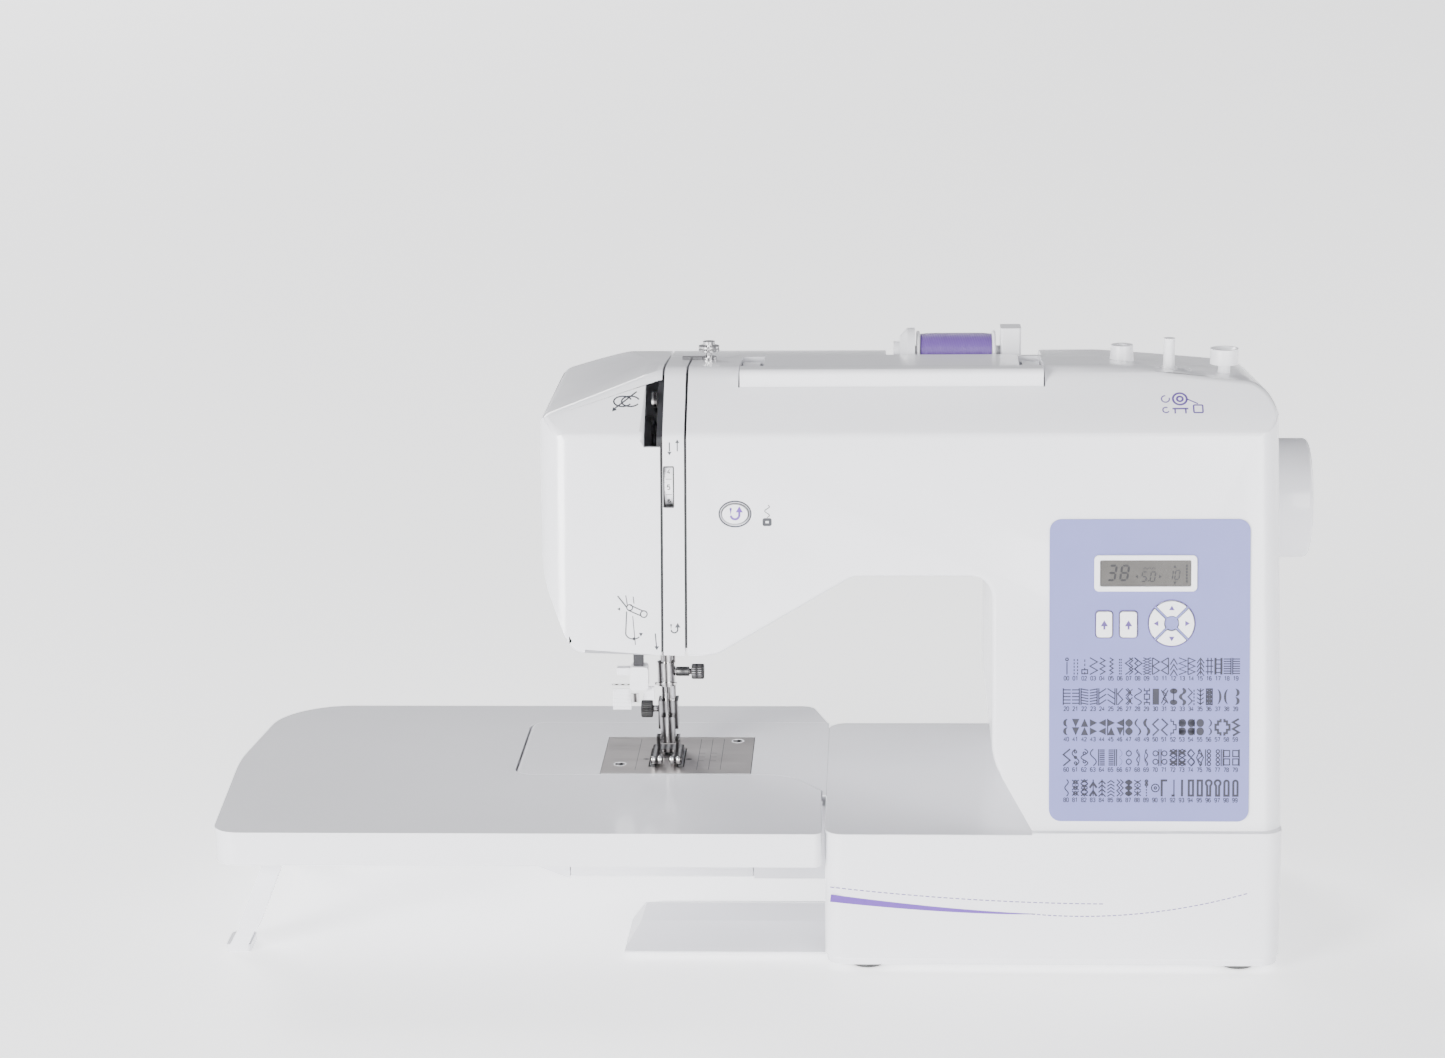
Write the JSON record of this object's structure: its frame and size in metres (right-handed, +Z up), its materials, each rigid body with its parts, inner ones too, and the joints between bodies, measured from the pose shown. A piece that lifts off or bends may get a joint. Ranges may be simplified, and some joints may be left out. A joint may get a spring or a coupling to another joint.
{
  "type": "sewing machine",
  "caption": "Computerised free-arm sewing machine with a stitch chart panel, a lift-off extension table on folding legs, and drive, needle, hook and feed parts inside.",
  "frame": {"origin": "middle of the bounding box's footprint, on the floor plane under the rubber feet", "axes": "+X to the operator's right along the arm, +Y away from the operator, +Z up"},
  "size_m": [0.5804, 0.229, 0.3155],
  "materials": {
    "white_shell": "glossy cool white",
    "table_shell": "glossy cool white",
    "grey_plastic": "satin",
    "dark_plastic": "satin black",
    "panel_lilac": "satin lilac overlay",
    "lcd_glass": "grey display",
    "button_white": "glossy white",
    "foot_rubber": "matte black",
    "brushed_plate": "brushed",
    "bright_steel": "polished",
    "tool_steel": "machined",
    "cast_alloy": "as cast",
    "bush_bronze": "machined",
    "belt_rubber": "matte",
    "board_green": "solder mask",
    "motor_paint": "black enamel",
    "thread_purple": "wound thread",
    "lens_clear": "clear"
  },
  "bodies": {
    "root": {"base_cover": "white_shell", "bobbin_case": "bright_steel", "bottom_plate": "white_shell", "cast_frame": "cast_alloy", "circuit_boards": "board_green", "control_panel": "panel_lilac", "drive_belts": "belt_rubber", "drive_motor": "motor_paint", "face_cover": "white_shell", "free_arm_cover": "white_shell", "front_cover": "white_shell", "hook_race": "tool_steel", "inlet_socket": "dark_plastic", "lamp": "lens_clear", "lcd_bezel": "button_white", "lcd_screen": "lcd_glass", "needle_plate": "brushed_plate", "rear_cover": "white_shell", "rubber_feet": "foot_rubber", "screws": "bright_steel", "shaft_bushes": "bush_bronze", "slot_liner": "dark_plastic", "spool_cap": "button_white", "spool_pin": "button_white", "tension_discs": "bright_steel", "thread_guide": "bright_steel", "thread_strip": "white_shell", "winder_stop": "button_white"},
    "upper_shaft": {"main_shaft": "tool_steel", "handwheel": "white_shell"},
    "lower_drive": {"lower_shaft": "tool_steel"},
    "hook": {"shuttle_hook": "bright_steel"},
    "motor_rotor": {"motor_pulley": "tool_steel"},
    "bobbin_reel": {"bobbin": "bright_steel"},
    "needle_slide_bar": {"needle_bar": "bright_steel", "needle": "bright_steel"},
    "take_up": {"take_up_lever": "bright_steel"},
    "presser": {"presser_bar": "bright_steel"},
    "foot": {"presser_foot": "bright_steel"},
    "lifter": {"presser_lifter": "grey_plastic"},
    "threader": {"needle_threader": "button_white"},
    "feed": {"feed_dogs": "tool_steel"},
    "feed_lever": {"feed_drop_lever": "dark_plastic"},
    "tension_wheel": {"tension_dial": "button_white"},
    "reverse": {"reverse_button": "button_white"},
    "mode_left": {"mode_button_left": "button_white"},
    "mode_right": {"mode_button_right": "button_white"},
    "arrow_up": {"arrow_button_up": "button_white"},
    "arrow_left": {"arrow_button_left": "button_white"},
    "arrow_down": {"arrow_button_down": "button_white"},
    "arrow_right": {"arrow_button_right": "button_white"},
    "bobbin_door": {"bobbin_cover": "white_shell"},
    "rocker": {"power_switch": "dark_plastic"},
    "spool": {"thread_spool": "thread_purple"},
    "winder_carriage": {"winder_arm": "grey_plastic"},
    "winder": {"winder_spindle": "button_white"},
    "handle": {"carry_handle": "white_shell"},
    "table": {"extension_table": "table_shell"},
    "leg_front": {"table_leg_front": "table_shell"},
    "leg_rear": {"table_leg_rear": "table_shell"}
  },
  "joints": [
    {"name": "handwheel_turn", "type": "hinge", "parent": "root", "child": "upper_shaft", "pos_m": [0.2755, 0.0165, 0.221], "axis": [1, 0, 0], "continuous": true},
    {"name": "lower_shaft_turn", "type": "hinge", "parent": "root", "child": "lower_drive", "pos_m": [0.0355, 0.0435, 0.0425], "axis": [1, 0, 0], "continuous": true},
    {"name": "hook_turn", "type": "hinge", "parent": "root", "child": "hook", "pos_m": [-0.0545, 0.0255, 0.0425], "axis": [0, 1, 0], "continuous": true},
    {"name": "motor_turn", "type": "hinge", "parent": "root", "child": "motor_rotor", "pos_m": [0.2255, -0.0525, 0.06], "axis": [1, 0, 0], "continuous": true},
    {"name": "bobbin_turn", "type": "hinge", "parent": "root", "child": "bobbin_reel", "pos_m": [-0.0545, 0.0095, 0.0425], "axis": [0, 1, 0], "continuous": true},
    {"name": "needle_stroke", "type": "slide", "parent": "root", "child": "needle_slide_bar", "axis": [0, 0, 1], "range_m": [-0.027, 0.002]},
    {"name": "take_up_swing", "type": "hinge", "parent": "root", "child": "take_up", "pos_m": [-0.0545, -0.0065, 0.264], "axis": [1, 0, 0], "range_deg": [-4, 42]},
    {"name": "presser_lift", "type": "slide", "parent": "root", "child": "presser", "axis": [0, 0, 1], "range_m": [0, 0.006], "stiffness_N_per_m": 400, "springref_m": -0.005},
    {"name": "lifter_swing", "type": "hinge", "parent": "root", "child": "lifter", "pos_m": [-0.0645, 0.0695, 0.186], "axis": [0, 1, 0], "range_deg": [-31, 0]},
    {"name": "foot_tilt", "type": "hinge", "parent": "presser", "child": "foot", "pos_m": [-0.0545, 0.0241, 0.0832], "axis": [1, 0, 0], "range_deg": [-8, 0], "stiffness_Nm_per_rad": 0.02, "springref_deg": 11.46},
    {"name": "threader_push", "type": "slide", "parent": "root", "child": "threader", "axis": [0, 0, -1], "range_m": [0, 0.022], "stiffness_N_per_m": 15, "springref_m": -0.02},
    {"name": "feed_drop", "type": "slide", "parent": "root", "child": "feed", "axis": [0, 0, 1], "range_m": [-0.0025, 0]},
    {"name": "feed_lever_slide", "type": "slide", "parent": "root", "child": "feed_lever", "axis": [-1, 0, 0], "range_m": [0, 0.008]},
    {"name": "tension_turn", "type": "hinge", "parent": "root", "child": "tension_wheel", "pos_m": [-0.0445, -0.06986, 0.25], "axis": [1, 0, 0], "range_deg": [-150, 150]},
    {"name": "reverse_press", "type": "slide", "parent": "root", "child": "reverse", "axis": [0, 0.9874, -0.158], "range_m": [0, 0.0012], "stiffness_N_per_m": 600, "springref_m": -0.0006},
    {"name": "mode_left_press", "type": "slide", "parent": "root", "child": "mode_left", "axis": [0, 0.9874, -0.158], "range_m": [0, 0.001], "stiffness_N_per_m": 600, "springref_m": -0.0006},
    {"name": "mode_right_press", "type": "slide", "parent": "root", "child": "mode_right", "axis": [0, 0.9874, -0.158], "range_m": [0, 0.001], "stiffness_N_per_m": 600, "springref_m": -0.0006},
    {"name": "arrow_up_press", "type": "slide", "parent": "root", "child": "arrow_up", "axis": [0, 0.9874, -0.158], "range_m": [0, 0.001], "stiffness_N_per_m": 600, "springref_m": -0.0006},
    {"name": "arrow_left_press", "type": "slide", "parent": "root", "child": "arrow_left", "axis": [0, 0.9874, -0.158], "range_m": [0, 0.001], "stiffness_N_per_m": 600, "springref_m": -0.0006},
    {"name": "arrow_down_press", "type": "slide", "parent": "root", "child": "arrow_down", "axis": [0, 0.9874, -0.158], "range_m": [0, 0.001], "stiffness_N_per_m": 600, "springref_m": -0.0006},
    {"name": "arrow_right_press", "type": "slide", "parent": "root", "child": "arrow_right", "axis": [0, 0.9874, -0.158], "range_m": [0, 0.001], "stiffness_N_per_m": 600, "springref_m": -0.0006},
    {"name": "bobbin_door_open", "type": "hinge", "parent": "root", "child": "bobbin_door", "pos_m": [-0.0565, -0.0125, 0.0186], "axis": [1, 0, 0], "range_deg": [0, 85]},
    {"name": "power_rocker", "type": "hinge", "parent": "root", "child": "rocker", "pos_m": [0.2625, 0.0295, 0.044], "axis": [0, 1, 0], "range_deg": [-8, 0]},
    {"name": "spool_turn", "type": "hinge", "parent": "root", "child": "spool", "pos_m": [0.1015, 0.0285, 0.2995], "axis": [1, 0, 0], "continuous": true},
    {"name": "winder_shift", "type": "slide", "parent": "root", "child": "winder_carriage", "axis": [1, 0, 0], "range_m": [0, 0.006]},
    {"name": "winder_turn", "type": "hinge", "parent": "winder_carriage", "child": "winder", "pos_m": [0.212, -0.0245, 0.3], "axis": [0, 0, 1], "continuous": true},
    {"name": "handle_lift", "type": "hinge", "parent": "root", "child": "handle", "pos_m": [0.0675, -0.0045, 0.2955], "axis": [-1, 0, 0], "range_deg": [0, 90]},
    {"name": "table_slide", "type": "slide", "parent": "root", "child": "table", "axis": [-1, 0, 0], "range_m": [0, 0.18]},
    {"name": "leg_front_fold", "type": "hinge", "parent": "table", "child": "leg_front", "pos_m": [-0.2505, -0.0785, 0.0645], "axis": [0, 1, 0], "range_deg": [-108, 0]},
    {"name": "leg_rear_fold", "type": "hinge", "parent": "table", "child": "leg_rear", "pos_m": [-0.2505, 0.0755, 0.0645], "axis": [0, 1, 0], "range_deg": [-108, 0]}
  ],
  "couplings": [
    {"joint": "lower_shaft_turn", "follows": "handwheel_turn", "ratio": 1},
    {"joint": "hook_turn", "follows": "handwheel_turn", "ratio": 2},
    {"joint": "motor_turn", "follows": "handwheel_turn", "ratio": 3},
    {"joint": "take_up_swing", "follows": "needle_stroke", "rad_per_m": -25.8},
    {"joint": "lifter_swing", "follows": "presser_lift", "rad_per_m": -87.2},
    {"joint": "feed_drop", "follows": "feed_lever_slide", "ratio": -0.3125}
  ]
}
